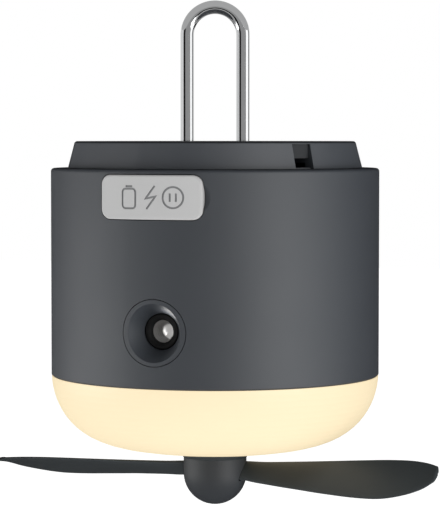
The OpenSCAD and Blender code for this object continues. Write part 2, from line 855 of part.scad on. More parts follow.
// A smooth value between four neighbouring stations.
function smooth4(a, b, c, d, t) =
    b + (c - a) * t / 2 + (a - 2.5 * b + 2 * c - d / 2) * t * t
    + (1.5 * b - 1.5 * c + d / 2 - a / 2) * t * t * t;
function along(list, i, t) = smooth4(
    list[max(i - 1, 0)], list[i], list[min(i + 1, len(list) - 1)], list[min(i + 2, len(list) - 1)], t
);
// One section of a blade: an ellipse of 16 points, pitched about the blade's middle line.
function blade_section(r, pitch, raised, lowered, half_t) = [
    for (k = [0 : 15])
        let (
            a = k * 22.5,
            across = (raised - lowered) / 2 + (raised + lowered) / 2 * cos(a),
            crown = 0.5 * (1 - pow(cos(a), 2)),
            up = half_t * sin(a) + crown
        )
        [r, across * cos(pitch) - up * sin(pitch), blade_z + across * sin(pitch) + up * cos(pitch)]
];
steps = 3;
last = len(station_r) - 1;
blade_sections = concat(
    [for (i = [0 : last - 1], s = [0 : steps - 1])
        let (t = s / steps, r = along(station_r, i, t))
        blade_section(r, along(pitch_at, i, t), along(raised_at, i, t), along(lowered_at, i, t),
            1.15 - 0.5 * (r - station_r[0]) / fan_r)],
    [blade_section(station_r[last], pitch_at[last], raised_at[last], lowered_at[last], 0.62)],
    [for (c = tip_closing)
        let (
            middle = (raised_at[last] - lowered_at[last]) / 2,
            half = (raised_at[last] + lowered_at[last]) / 2 * c[1]
        )
        blade_section(station_r[last] + c[0] * (fan_r - station_r[last]), pitch_at[last],
            middle + half, half - middle, 0.62 * c[1] + 0.05)]
);

module blade() {
    rows = len(blade_sections);
    points = [for (section = blade_sections) each section];
    sides = [for (i = [0 : rows - 2], k = [0 : 15])
        let (a = i * 16 + k, b = i * 16 + (k + 1) % 16) each [[a, b + 16, b], [a, a + 16, b + 16]]];
    ends = [[for (k = [0 : 15]) k], [for (k = [15 : -1 : 0]) (rows - 1) * 16 + k]];
    polyhedron(points = points, faces = concat(sides, ends), convexity = 6);
}

module propeller() {
    color(slate) rotate([0, 0, blade_turn]) {
        difference() {
            union() {
                translate([0, 0, 6]) cylinder(r = barrel_hub_r, h = hub_top - 6 - 0.5);
                translate([0, 0, hub_top - hub_flange]) cylinder(r = 9.9, h = hub_flange);
                for (turn = [0, 180]) rotate([0, 0, turn]) blade();
            }
            translate([0, 0, shaft_low]) cylinder(r = insert_r, h = 20, $fn = 64);
        }
    }
}

// A blade's root, grown on all sides and drawn out along the blade.
module blade_slot(grow) {
    half = (raised_at[0] + lowered_at[1]) / 2 + grow;
    rotate([pitch_at[0] - 1, 0, 0]) rotate([90, 0, 90]) translate([0, 0, 4]) linear_extrude(height = 10)
        polygon([for (a = [0 : 15 : 345]) [
            (raised_at[0] - lowered_at[1]) / 2 + half * cos(a),
            (1.15 + grow) * sin(a) + 0.5 * pow(sin(a), 2)
        ]]);
}

module nose_cap() {
    inner = nose_r - cap_wall;
    top = hub_top - hub_flange;
    color(slate) rotate([0, 0, blade_turn]) difference() {
        rotate_extrude() difference() {
            union() {
                translate([0, nose_r]) circle(r = nose_r, $fn = 128);
                translate([0, nose_r]) square([nose_r, top - nose_r]);
            }
            translate([0, nose_r]) circle(r = inner, $fn = 128);
            translate([0, nose_r]) square([inner, 20]);
            translate([-20, -1]) square([20, 40]);
            translate([0, top]) square([20, 20]);
        }
        for (turn = [0, 180]) rotate([0, 0, turn]) translate([0, 0, blade_z]) blade_slot(0.2);
    }
}

module hub_insert() {
    color(brass) ring(insert_r, shaft_r, 6, hub_top - 0.5);
}

body_shell();
top_cap();
cap_screws();
bail();
bail_block();
bail_screw();
port_frame();
port_cover();
cover_anchor();
usb_a_socket();
usb_a_tongue();
usb_c_socket();
usb_c_tongue();
main_board();
board_chips();
board_coil();
board_capacitors();
board_screws();
tripod_bezel();
tripod_ring();
tripod_bush();
button_plate();
fan_button();
lamp_button();
fan_switch_plunger();
lamp_switch_plunger();
switch_housings();
button_board();
button_board_screws();
indicator_lenses();
indicator_leds();
battery_holder();
battery_cells();
battery_tabs();
holder_screws();
base_plate();
base_screws();
motor_can();
motor_magnets();
motor_end_bell();
motor_brushes();
lower_bush();
upper_bush();
motor_screws();
motor_shaft();
armature();
motor_windings();
commutator();
led_board();
led_chips();
reflector();
shaft_sleeve();
light_diffuser();
seal_ring();
propeller();
nose_cap();
hub_insert();
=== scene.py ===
# %% [markdown]
# # A portable camping fan
# A slate-grey lantern body hangs from a chrome bail. Under it are a lit dome and a two-blade fan.
# The engineering model holds every size, so Blender only dresses it. This cell loads that model.

# %% Load the imported model
import json
import math
import bmesh
import bpy
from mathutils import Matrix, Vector


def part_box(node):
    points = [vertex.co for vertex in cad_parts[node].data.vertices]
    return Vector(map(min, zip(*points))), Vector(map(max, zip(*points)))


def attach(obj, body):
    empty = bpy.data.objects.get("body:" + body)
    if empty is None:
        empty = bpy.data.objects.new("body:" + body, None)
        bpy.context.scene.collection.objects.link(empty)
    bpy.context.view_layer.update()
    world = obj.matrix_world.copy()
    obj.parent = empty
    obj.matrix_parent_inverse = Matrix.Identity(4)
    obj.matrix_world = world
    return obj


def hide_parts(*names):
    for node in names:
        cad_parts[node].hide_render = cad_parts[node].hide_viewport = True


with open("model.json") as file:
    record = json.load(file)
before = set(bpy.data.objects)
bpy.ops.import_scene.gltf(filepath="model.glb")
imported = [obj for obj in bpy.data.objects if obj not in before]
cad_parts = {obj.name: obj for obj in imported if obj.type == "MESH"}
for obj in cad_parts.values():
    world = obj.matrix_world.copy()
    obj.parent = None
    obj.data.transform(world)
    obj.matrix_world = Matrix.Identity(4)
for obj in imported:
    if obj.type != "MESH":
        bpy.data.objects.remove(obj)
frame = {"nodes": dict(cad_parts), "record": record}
for plain_look in list(bpy.data.materials):
    bpy.data.materials.remove(plain_look)
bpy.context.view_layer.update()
MM = 0.001

# %% [markdown]
# The pieces that Blender adds have to meet the solids that they sit on. Their places are read from
# the boxes of those solids, so that they follow the model if it changes. Blender works in metres.
# The pieces are drawn in millimetres, because a maker thinks of a small object in those.

# %% Places from the frame
X, Y, Z = range(3)

def box_mm(node):
    """The lowest and highest corner of a solid, in millimetres to a hundredth."""
    return [[round(v / MM, 2) for v in corner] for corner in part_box(node)]

def middle_mm(node, axis):
    low, high = box_mm(node)
    return round((low[axis] + high[axis]) / 2, 3)

BODY_R = -box_mm("body_shell")[0][Y]
PROUD_R = box_mm("fan_button")[1][Y]  # the cover and the buttons stand out of the body to here
SOCKET_Z = middle_mm("tripod_bezel", Z)
print("body radius:", BODY_R, "proud radius:", PROUD_R, "socket height:", SOCKET_Z)

# %% [markdown]
# ## Camera
# The photograph was taken from a little above the shoulder, with the front turned 21 degrees to
# the left. A long lens keeps the rim ellipses as flat as they are in the picture. A tiny shift
# puts the fan's axis left of the middle without turning the camera.

# %% Camera
VIEW_TURN = math.radians(20.8)
VIEW_DIP_DEG = 2.817
VIEW_DISTANCE = 709.62 * MM
VIEW_HEIGHT = 112.19 * MM
PICTURE_TALL, LENS_PIXELS, SHIFT_PIXELS = 505, 2324, 4.89
SENSOR_TALL = 36

def around(turn_deg, distance, height):
    """A place around the fan's axis, counted from the camera's direction."""
    turn = VIEW_TURN + math.radians(turn_deg)
    return Vector((distance * math.sin(turn), -distance * math.cos(turn), height))

camera_data = bpy.data.cameras.new("camera")
camera_data.sensor_width = SENSOR_TALL
camera_data.lens = LENS_PIXELS * SENSOR_TALL / PICTURE_TALL
camera_data.shift_x = SHIFT_PIXELS / PICTURE_TALL
camera_data.clip_start = 0.05
camera = bpy.data.objects.new("camera", camera_data)
camera.location = around(0, VIEW_DISTANCE, VIEW_HEIGHT)
camera.rotation_euler = (math.radians(90 - VIEW_DIP_DEG), 0, VIEW_TURN)
bpy.context.collection.objects.link(camera)
bpy.context.scene.camera = camera
bpy.context.scene.view_settings.view_transform = "Standard"
print("camera at", [round(v, 4) for v in camera.location])

# %% [markdown]
# ## A first helper for shader nodes
# Every material is a small graph. This helper adds one node, sets its options and fills or links
# its sockets, so that a graph can be read as a short list of lines.

# %% Node helper
def add(tree, kind, options=None, **sockets):
    """Adds a node. A socket goes by its name, or by an underscore and its number."""
    node = tree.nodes.new(kind)
    for option, value in (options or {}).items():
        setattr(node, option, value)
    for name, value in sockets.items():
        number = name[1:]
        socket = node.inputs[int(number) if number.isdigit() else name.replace("_", " ")]
        if isinstance(value, bpy.types.NodeSocket):
            tree.links.new(value, socket)
        else:
            socket.default_value = value
    return node

def shown_ray(tree):
    """1 on a ray that shows something, directly or in a shiny surface, and 0 on one that lights."""
    path = add(tree, "ShaderNodeLightPath")
    first = add(tree, "ShaderNodeMath", {"operation": "MAXIMUM"},
                _0=path.outputs["Is Camera Ray"], _1=path.outputs["Is Glossy Ray"])
    return add(tree, "ShaderNodeMath", {"operation": "MAXIMUM"},
               _0=first.outputs[0], _1=path.outputs["Is Transmission Ray"]).outputs[0]

print("node helpers ready")

# %% [markdown]
# ## Studio
# The background is plain white to the camera and to shiny surfaces, but it lights the fan more
# softly, and most from low in front. Light Path tells the two kinds of ray apart.

# %% World
WHITE = (1, 1, 1, 1)
SKY_DIM, SKY_BRIGHT = 0.16, 0.75
BRIGHT_TURN, BRIGHT_DROP = -9, -0.7

world = bpy.data.worlds.new("studio")
world.use_nodes = True
tree = world.node_tree
tree.nodes.clear()
toward = add(tree, "ShaderNodeTexCoord")
brightest = around(BRIGHT_TURN, 1, BRIGHT_DROP).normalized()
facing = add(tree, "ShaderNodeVectorMath", {"operation": "DOT_PRODUCT"},
             _0=toward.outputs["Generated"], _1=brightest)
fill = add(tree, "ShaderNodeMapRange", _0=facing.outputs["Value"],
           _1=-1.0, _2=1.0, _3=SKY_DIM, _4=SKY_BRIGHT)
lighting = add(tree, "ShaderNodeBackground", Color=WHITE, Strength=fill.outputs[0])
shown = add(tree, "ShaderNodeBackground", Color=WHITE, Strength=1.0)
backdrop = add(tree, "ShaderNodeMixShader",
               _0=shown_ray(tree), _1=lighting.outputs[0], _2=shown.outputs[0])
add(tree, "ShaderNodeOutputWorld", Surface=backdrop.outputs[0])
bpy.context.scene.world = world
print("world:", world.name)

# %% [markdown]
# The floor is below the hanging fan. It gives off white of its own, so that its far edge can't be
# seen and a soft shadow still can. Its underside is clear, so that the fan can be looked at from
# below too.

# %% Floor
FLOOR_Z, FLOOR_HALF = -0.16, 4
GLOW_LIGHTING, GLOW_SHOWN = 1.05, 0.82

def flat_mesh(name, corners, faces):
    mesh = bpy.data.meshes.new(name)
    mesh.from_pydata([tuple(corner) for corner in corners], [], faces)
    piece = bpy.data.objects.new(name, mesh)
    bpy.context.collection.objects.link(piece)
    return piece

floor_corners = [(x * FLOOR_HALF, y * FLOOR_HALF, FLOOR_Z)
                 for x, y in ((-1, -1), (1, -1), (1, 1), (-1, 1))]
floor = flat_mesh("floor", floor_corners, [(0, 1, 2, 3)])
floor_look = bpy.data.materials.new("floor_paper")
floor_look.use_nodes = True
tree = floor_look.node_tree
tree.nodes.clear()
paper = add(tree, "ShaderNodeBsdfDiffuse", Color=(0.82, 0.82, 0.82, 1))
strength = add(tree, "ShaderNodeMapRange", _0=shown_ray(tree), _3=GLOW_LIGHTING, _4=GLOW_SHOWN)
glow = add(tree, "ShaderNodeEmission", Color=WHITE, Strength=strength.outputs[0])
lit_top = add(tree, "ShaderNodeAddShader", _0=paper.outputs[0], _1=glow.outputs[0])
clear = add(tree, "ShaderNodeBsdfTransparent")
side = add(tree, "ShaderNodeNewGeometry")
one_sided = add(tree, "ShaderNodeMixShader",
                _0=side.outputs["Backfacing"], _1=lit_top.outputs[0], _2=clear.outputs[0])
add(tree, "ShaderNodeOutputMaterial", Surface=one_sided.outputs[0])
floor.data.materials.append(floor_look)
print("floor at", FLOOR_Z)

# %% [markdown]
# ## Lamps
# Two large soft boxes make the two pale bands on the round body. A band lies halfway between the
# camera and its lamp, so the lamps stand at twice the turn of the bands.

# %% Lamps
LAMP_DISTANCE, LAMP_HEIGHT, LAMP_TALL = 0.8, 0.14, 0.60

def area_lamp(name, place, aim, wide, tall, brightness):
    """A flat lamp that faces aim. Its power grows with its size, so its face keeps one brightness."""
    data = bpy.data.lights.new(name, "AREA")
    data.shape, data.size, data.size_y = "RECTANGLE", wide, tall
    data.energy = brightness * math.pi * wide * tall
    lamp = bpy.data.objects.new(name, data)
    lamp.location = place
    lamp.rotation_euler = (aim - place).to_track_quat("-Z", "Y").to_euler()
    lamp.visible_camera = False
    bpy.context.collection.objects.link(lamp)
    return lamp

for name, turn_deg, wide, brightness in (("lamp_left", -88, 0.60, 2.15), ("lamp_right", 44, 0.50, 3.35)):
    area_lamp(name, around(turn_deg, LAMP_DISTANCE, LAMP_HEIGHT), Vector((0, 0, LAMP_HEIGHT)),
              wide, LAMP_TALL, brightness)
print("lamps:", [lamp.name for lamp in bpy.data.lights])

# %% [markdown]
# ## Reflection cards
# Polished metal shows what stands round it. Photographers put black, grey and white cards there,
# and the stripes on the bail are those cards. Five of them make a ring round the bail, two black
# ones stand further out, and one lies under the fan and one over it. Only shiny rays meet them, so
# they don't show in the picture. Light linking gives their light to the pieces in the mirror
# collection alone: first the bail, and further down the steel bush too. For all others the cards
# are black, which keeps the white background out of the soft gloss of the plastic.

# %% Cards
mirror = bpy.data.collections.new("mirror_pieces")
mirror.objects.link(frame["nodes"]["bail"])

def card(name, corners, faces, brightness):
    piece = flat_mesh(name, corners, faces)
    look = bpy.data.materials.new(name)
    look.use_nodes = True
    look.node_tree.nodes.clear()
    shine = add(look.node_tree, "ShaderNodeEmission", Color=WHITE, Strength=brightness)
    add(look.node_tree, "ShaderNodeOutputMaterial", Surface=shine.outputs[0])
    piece.data.materials.append(look)
    for ray in ("camera", "diffuse", "transmission", "volume_scatter", "shadow"):
        setattr(piece, "visible_" + ray, False)
    piece.light_linking.receiver_collection = mirror

def standing_card(name, start_deg, end_deg, distance, low, high, brightness):
    """A card bent round the fan's axis, with an edge every six degrees or so."""
    steps = max(2, int((end_deg - start_deg) / 6))
    turns = [start_deg + (end_deg - start_deg) * i / steps for i in range(steps + 1)]
    corners = [around(t, distance, z) for t in turns for z in (low, high)]
    faces = [(2 * i, 2 * i + 1, 2 * i + 3, 2 * i + 2) for i in range(steps)]
    card(name, corners, faces, brightness)

def lying_card(name, radius, height, brightness):
    corners = [around(t, radius, height) for t in range(0, 360, 12)]
    card(name, corners, [tuple(range(len(corners)))], brightness)

RING_R, RING_LOW, RING_HIGH = 0.30, 0.092, 0.20
FAR_R, FAR_LOW, FAR_HIGH = 0.62, -0.15, 0.60
UNDER_Z = -0.152

for name, start_deg, end_deg, brightness in (
        ("card_black", -68, -33, 0.01), ("card_front", -33, 55, 0.30), ("card_white", 55, 99, 1.3),
        ("card_dark", 99, 123, 0.16), ("card_back", 123, 292, 0.72)):
    standing_card(name, start_deg, end_deg, RING_R, RING_LOW, RING_HIGH, brightness)
standing_card("card_low_back", 95, 242, FAR_R, FAR_LOW, FAR_HIGH, 0.0)
standing_card("card_low_front", -52, 26, FAR_R, FAR_LOW, FAR_HIGH, 0.0)
lying_card("card_under", FAR_R, UNDER_Z, 0.35)
lying_card("card_over", RING_R, RING_HIGH, 0.44)

# %% [markdown]
# ## Shared effects
# Moulded plastic is never quite even. It has a fine grain from the mould, and its tone and gloss
# drift a little from place to place. Most of this object is moulded, so the grain is a node
# group with its own inputs, and each material uses it at its own size.

# %% Grain group
def new_group(name, inputs, outputs):
    group = bpy.data.node_groups.new(name, "ShaderNodeTree")
    for socket, value in inputs:
        entry = group.interface.new_socket(name=socket, in_out="INPUT", socket_type="NodeSocketFloat")
        entry.default_value = value
    for socket in outputs:
        group.interface.new_socket(name=socket, in_out="OUTPUT", socket_type="NodeSocketFloat")
    return group, group.nodes.new("NodeGroupInput"), group.nodes.new("NodeGroupOutput")

grain_group, given, result = new_group(
    "moulded_grain", [("Grain size", 0.4), ("Roughness", 0.5), ("Spread", 0.05)],
    ["Height", "Tone", "Roughness"])
place = add(grain_group, "ShaderNodeTexCoord")
per_metre = add(grain_group, "ShaderNodeMath", {"operation": "DIVIDE"},
                _0=1 / MM, _1=given.outputs["Grain size"])
fine = add(grain_group, "ShaderNodeTexNoise", Vector=place.outputs["Object"],
           Scale=per_metre.outputs[0], Detail=3.0, Roughness=0.6)
broad = add(grain_group, "ShaderNodeTexNoise", Vector=place.outputs["Object"], Scale=55.0, Detail=2.0)
drift = add(grain_group, "ShaderNodeMath", {"operation": "MULTIPLY_ADD"},
            _0=broad.outputs["Fac"], _1=0.6, _2=0.2)
mixed = add(grain_group, "ShaderNodeMath", {"operation": "MULTIPLY_ADD"},
            _0=fine.outputs["Fac"], _1=0.4, _2=drift.outputs[0])
centred = add(grain_group, "ShaderNodeMath", {"operation": "SUBTRACT"}, _0=mixed.outputs[0], _1=0.7)
rough = add(grain_group, "ShaderNodeMath", {"operation": "MULTIPLY_ADD", "use_clamp": True},
            _0=centred.outputs[0], _1=given.outputs["Spread"], _2=given.outputs["Roughness"])
grain_group.links.new(fine.outputs["Fac"], result.inputs["Height"])
grain_group.links.new(mixed.outputs[0], result.inputs["Tone"])
grain_group.links.new(rough.outputs[0], result.inputs["Roughness"])
print("group:", grain_group.name, [s.name for s in grain_group.interface.items_tree])

# %% [markdown]
# Corners, seams and narrow recesses get little light, so their shade is painted into the colour. A
# second group finds them by how much of the space round a point is closed off within a few millimetres.

# %% Recess group
OPEN_ENOUGH, CLOSED_OFF = 0.6, 0.2

# painted shade mask: ambient occlusion marks the recesses whose colour is darkened
recess_group, given, result = new_group("recess_shade", [("Reach", 4.0)], ["Mask"])
reach = add(recess_group, "ShaderNodeMath", {"operation": "MULTIPLY"}, _0=given.outputs["Reach"], _1=MM)
closed = add(recess_group, "ShaderNodeAmbientOcclusion", {"samples": 8}, Distance=reach.outputs[0])
deep = add(recess_group, "ShaderNodeMapRange", _0=closed.outputs["AO"],
           _1=OPEN_ENOUGH, _2=CLOSED_OFF, _3=0.0, _4=1.0)
recess_group.links.new(deep.outputs[0], result.inputs["Mask"])
print("group:", recess_group.name)

# %% [markdown]
# ## Moulded plastic, rubber and silicone
# These share one recipe: two close tones that the grain mixes, painted shade that darkens and dulls
# the recesses, a fine bump and a soft gloss. A colour is written as it looks on a screen, from 0 to
# 255, and turned into light for the shader.

# %% Moulded material
RECESS_REACH, RECESS_KEPT = 4.0, 0.1

def light(*screen):
    """A screen colour as the shader wants it, by the screen's own curve."""
    shares = [v / 255 for v in screen]
    return tuple(s / 12.92 if s <= 0.04 else ((s + 0.055) / 1.055) ** 2.4 for s in shares) + (1.0,)

def scaled(colour, factor):
    return [min(1.0, c * factor) for c in colour[:3]] + [1.0]

def new_material(name):
    look = bpy.data.materials.new(name)
    look.use_nodes = True
    shader = look.node_tree.nodes["Principled BSDF"]
    return look, look.node_tree, shader

def moulded(name, colour, grain=0.35, depth=0.02, roughness=0.5, spread=0.1, gloss=0.5, tone=0.06,
            painted_shade=0.6):
    look, tree, shader = new_material(name)
    skin = add(tree, "ShaderNodeGroup", {"node_tree": grain_group},
               Grain_size=grain, Roughness=roughness, Spread=spread)
    body = add(tree, "ShaderNodeMix", {"data_type": "RGBA"}, _0=skin.outputs["Tone"],
               _6=scaled(colour, 1 - tone), _7=scaled(colour, 1 + tone))
    recess = add(tree, "ShaderNodeGroup", {"node_tree": recess_group}, Reach=RECESS_REACH)
    # painted shade: where the recess mask is high, the colour darkens and the gloss dulls
    hidden = add(tree, "ShaderNodeMath", {"operation": "MULTIPLY"}, _0=recess.outputs["Mask"], _1=painted_shade)
    shaded = add(tree, "ShaderNodeMix", {"data_type": "RGBA"}, _0=hidden.outputs[0],
                 _6=body.outputs[2], _7=scaled(colour, RECESS_KEPT))
    shine = add(tree, "ShaderNodeMapRange", _0=hidden.outputs[0], _3=gloss, _4=RECESS_KEPT * gloss)
    bump = add(tree, "ShaderNodeBump", Strength=0.6, Distance=depth * MM, Height=skin.outputs["Height"])
    tree.links.new(shaded.outputs[2], shader.inputs["Base Color"])
    tree.links.new(shine.outputs[0], shader.inputs["Specular IOR Level"])
    tree.links.new(skin.outputs["Roughness"], shader.inputs["Roughness"])
    tree.links.new(bump.outputs[0], shader.inputs["Normal"])
    return look

looks = {look.name: look for look in (
    moulded("slate_plastic", light(46, 51, 58), roughness=0.6, gloss=1.0),
    moulded("fan_plastic", light(50, 54, 56), roughness=0.5, grain=0.3, gloss=0.2),
    # the cap's paler tone is painted light, standing in for light its collar lacks
    moulded("cap_plastic", light(50, 56, 64), roughness=0.6, gloss=1.0),
    moulded("nose_plastic", light(40, 44, 49), roughness=0.6, gloss=0.7),
    moulded("pale_silicone", light(165, 165, 165), roughness=0.62, grain=0.25, depth=0.01,
            gloss=0.35, painted_shade=0.3),
    moulded("pale_plastic", light(178, 179, 179), roughness=0.45),
    moulded("black_plastic", light(26, 26, 27), roughness=0.5),
    moulded("black_rubber", light(24, 24, 24), roughness=0.6, grain=0.5, depth=0.03, gloss=0.3),
    moulded("white_plastic", light(226, 226, 222), roughness=0.45),
    moulded("magnet_ferrite", light(46, 46, 48), roughness=0.7, grain=0.15, depth=0.04, gloss=0.3),
    moulded("sunk_mark", light(120, 121, 122), roughness=0.7, grain=0.2, gloss=0.25),
)}
print("moulded looks:", sorted(looks))

# %% [markdown]
# The top cap is a separate moulding, a little glossier than the body. It is also a little paler, which
# is painted light: the lamps leave its collar darker than the body. The rounded rim of its collar
# shows as a thin dark line in the photograph, and that is shade; the mask below paints it in. It
# finds that rounding by how far the surface has turned upward, and it leaves out the collar's side
# and the flat deck. The floors of the three grooves in the collar get painted shade too. They are
# the only outward faces this close to the axis.

# %% Rim and grooves of the cap
RIM_FROM, RIM_TO = (0.38, 0.50), (0.93, 0.98)  # how far up the surface faces where the rim fades
RIM_KEPT, GROOVE_KEPT = 0.25, 0.35
GROOVE_FLOOR_R, FACES_OUT = 42.35, 0.8

tree = looks["cap_plastic"].node_tree
shader = tree.nodes["Principled BSDF"]
shader.inputs["IOR"].default_value = 1.7
surface = add(tree, "ShaderNodeNewGeometry")
upward = add(tree, "ShaderNodeSeparateXYZ", _0=surface.outputs["Normal"])
rim_start = add(tree, "ShaderNodeMapRange", _0=upward.outputs["Z"],
                _1=RIM_FROM[0], _2=RIM_FROM[1], _3=1.0, _4=RIM_KEPT)
rim_end = add(tree, "ShaderNodeMapRange", _0=upward.outputs["Z"],
              _1=RIM_TO[0], _2=RIM_TO[1], _3=0.0, _4=1.0)
rim_kept = add(tree, "ShaderNodeMath", {"operation": "MAXIMUM"},
               _0=rim_start.outputs[0], _1=rim_end.outputs[0])
level = add(tree, "ShaderNodeVectorMath", {"operation": "MULTIPLY"},
            _0=surface.outputs["Position"], _1=(1, 1, 0))
radius = add(tree, "ShaderNodeVectorMath", {"operation": "LENGTH"}, _0=level.outputs[0])
outward = add(tree, "ShaderNodeVectorMath", {"operation": "NORMALIZE"}, _0=level.outputs[0])
facing = add(tree, "ShaderNodeVectorMath", {"operation": "DOT_PRODUCT"},
             _0=surface.outputs["Normal"], _1=outward.outputs[0])
near = add(tree, "ShaderNodeMath", {"operation": "LESS_THAN"},
           _0=radius.outputs["Value"], _1=GROOVE_FLOOR_R * MM)
turned_out = add(tree, "ShaderNodeMath", {"operation": "GREATER_THAN"},
                 _0=facing.outputs["Value"], _1=FACES_OUT)
groove = add(tree, "ShaderNodeMath", {"operation": "MULTIPLY"},
             _0=near.outputs[0], _1=turned_out.outputs[0])
groove_kept = add(tree, "ShaderNodeMapRange", _0=groove.outputs[0], _3=1.0, _4=GROOVE_KEPT)
kept = add(tree, "ShaderNodeMath", {"operation": "MULTIPLY"},
           _0=rim_kept.outputs[0], _1=groove_kept.outputs[0])
# painted shade: colour and gloss are scaled down on the rim's rounding and on the groove floors
whole_colour = shader.inputs["Base Color"].links[0].from_socket
whole_gloss = shader.inputs["Specular IOR Level"].links[0].from_socket
darker = add(tree, "ShaderNodeVectorMath", {"operation": "SCALE"}, _0=whole_colour, Scale=kept.outputs[0])
duller = add(tree, "ShaderNodeMath", {"operation": "MULTIPLY"}, _0=whole_gloss, _1=kept.outputs[0])
tree.links.new(darker.outputs[0], shader.inputs["Base Color"])
tree.links.new(duller.outputs[0], shader.inputs["Specular IOR Level"])
print("rim and groove masks on:", looks["cap_plastic"].name)

# %% [markdown]
# ## Lit diffuser
# The dome is a frosted milky plastic, and the lamp inside it is on. The LEDs sit far enough
# behind the plastic that it glows evenly, so part of its tone is its own light and part is the
# studio's. A faint cloudiness keeps it from looking like paper. It shows its full glow, but it
# throws hardly any on the fan, whose blades are dark in the photograph.

# %% Diffuser material
GLOW_THROWN = 0.08

look, tree, shader = new_material("lit_diffuser")
skin = add(tree, "ShaderNodeGroup", {"node_tree": grain_group}, Grain_size=0.6, Roughness=0.42, Spread=0.1)
milk = add(tree, "ShaderNodeMix", {"data_type": "RGBA"}, _0=skin.outputs["Tone"],
           _6=light(144, 138, 118), _7=light(149, 143, 123))
glow = add(tree, "ShaderNodeMix", {"data_type": "RGBA"}, _0=skin.outputs["Tone"],
           _6=(0.62, 0.50, 0.32, 1), _7=(0.635, 0.515, 0.33, 1))
bump = add(tree, "ShaderNodeBump", Strength=0.4, Distance=0.01 * MM, Height=skin.outputs["Height"])
strength = add(tree, "ShaderNodeMapRange", _0=shown_ray(tree), _3=GLOW_THROWN, _4=1.0)
tree.links.new(milk.outputs[2], shader.inputs["Base Color"])
tree.links.new(glow.outputs[2], shader.inputs["Emission Color"])
tree.links.new(strength.outputs[0], shader.inputs["Emission Strength"])
tree.links.new(skin.outputs["Roughness"], shader.inputs["Roughness"])
tree.links.new(bump.outputs[0], shader.inputs["Normal"])
shader.inputs["Specular IOR Level"].default_value = 0.3
looks["lit_diffuser"] = look
print("look:", look.name)

# %% [markdown]
# ## Metals
# A metal takes its look from what it reflects. The plated bail is nearly a mirror. Turned and
# rolled metal has fine lines in the direction it was worked, so the noise is stretched one way.
# The LED board is aluminium under white lacquer. It shares the recipe, but its surface isn't metal.

# %% Metal materials
def metal(name, colour, roughness, stretch=(1, 1, 1), size=0.5, spread=0.1, tone=0.05, metallic=1.0):
    look, tree, shader = new_material(name)
    place = add(tree, "ShaderNodeTexCoord")
    drawn = add(tree, "ShaderNodeMapping", Vector=place.outputs["Object"], Scale=stretch)
    lines = add(tree, "ShaderNodeTexNoise", Vector=drawn.outputs[0], Scale=1 / (size * MM), Detail=3.0)
    body = add(tree, "ShaderNodeMix", {"data_type": "RGBA"}, _0=lines.outputs["Fac"],
               _6=scaled(colour, 1 - tone), _7=colour)
    rough = add(tree, "ShaderNodeMapRange", _0=lines.outputs["Fac"], _1=0.3, _2=0.7,
                _3=max(0.02, roughness - spread / 2), _4=roughness + spread / 2)
    bump = add(tree, "ShaderNodeBump", Strength=0.25, Distance=0.004 * MM, Height=lines.outputs["Fac"])
    tree.links.new(body.outputs[2], shader.inputs["Base Color"])
    tree.links.new(rough.outputs[0], shader.inputs["Roughness"])
    tree.links.new(bump.outputs[0], shader.inputs["Normal"])
    shader.inputs["Metallic"].default_value = metallic
    return look

ALONG_Z, ALONG_Y = (1, 1, 0.1), (1, 0.1, 1)
for look in (
        metal("chrome_wire", light(232, 233, 234), 0.05, size=3.0, spread=0.03, tone=0.02),
        metal("plain_steel", light(176, 177, 178), 0.32, stretch=ALONG_Z),
        metal("bright_steel", light(205, 204, 202), 0.45, stretch=ALONG_Y, spread=0.08),
        metal("brass_bush", light(196, 162, 98), 0.28, stretch=ALONG_Z),
        metal("gold_contact", light(222, 182, 96), 0.2, stretch=ALONG_Y),
        metal("white_board", light(232, 232, 228), 0.55, size=0.3, tone=0.03, metallic=0.0)):
    looks[look.name] = look
print("looks so far:", len(looks))

# %% [markdown]
# ## Finishes that show when it is opened
# The armature carries enamelled copper wire in close turns, and a wave texture draws them. The
# board has green lacquer with paler tracks under it. The cells wear a shrunk sleeve with soft
# wrinkles, and each LED is a yellow lens that glows.

# %% Copper winding, board, sleeve and LED materials
def patterned(name, texture, dark, pale, depth, roughness, metallic=0.0, emission=0.0):
    look, tree, shader = new_material(name)
    place = add(tree, "ShaderNodeTexCoord")
    kind, options, sockets = texture
    pattern = add(tree, kind, options, Vector=place.outputs["Object"], **sockets)
    height = pattern.outputs["Fac"] if "Fac" in pattern.outputs else pattern.outputs["Distance"]
    body = add(tree, "ShaderNodeMix", {"data_type": "RGBA"}, _0=height, _6=dark, _7=pale)
    rough = add(tree, "ShaderNodeMapRange", _0=height, _3=roughness - 0.06, _4=roughness + 0.06)
    bump = add(tree, "ShaderNodeBump", Strength=0.5, Distance=depth * MM, Height=height)
    tree.links.new(body.outputs[2], shader.inputs["Base Color"])
    tree.links.new(rough.outputs[0], shader.inputs["Roughness"])
    tree.links.new(bump.outputs[0], shader.inputs["Normal"])
    shader.inputs["Metallic"].default_value = metallic
    if emission:
        tree.links.new(body.outputs[2], shader.inputs["Emission Color"])
        shader.inputs["Emission Strength"].default_value = emission
    return look

